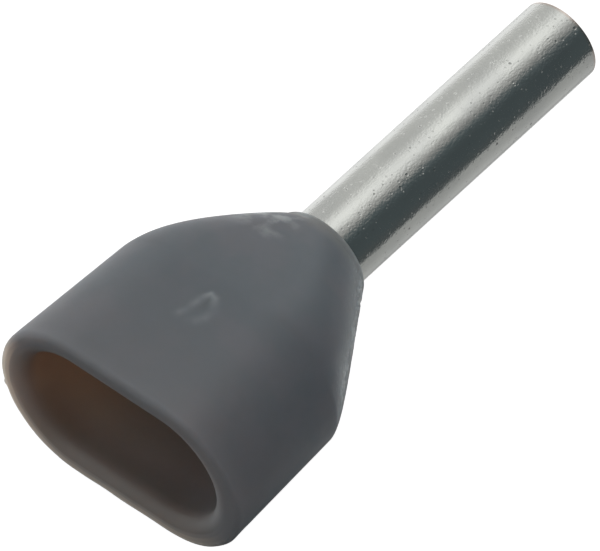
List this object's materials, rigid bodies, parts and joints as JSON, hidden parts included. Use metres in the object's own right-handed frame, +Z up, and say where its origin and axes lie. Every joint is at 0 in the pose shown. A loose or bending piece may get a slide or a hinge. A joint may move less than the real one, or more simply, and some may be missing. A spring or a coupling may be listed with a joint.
{
  "type": "twin wire ferrule",
  "caption": "Twin cord end ferrule: a bright tinned crimp tube held in a grey moulded collar with an oblong entry for a pair of stranded conductors.",
  "frame": {"origin": "on the table the ferrule lies on, at the middle of its outline", "axes": "+X towards the tube's tip, level; +Y across both conductors; +Z up. The ferrule lies as it comes to rest, so its own axis dips 5.57 degrees below +X towards the tip."},
  "size_m": [0.015, 0.0068, 0.0045],
  "materials": {
    "tinned_tube": "satin",
    "grey_collar": "satin"
  },
  "bodies": {
    "root": {"crimp_tube": "tinned_tube", "entry_collar": "grey_collar"}
  },
  "joints": []
}
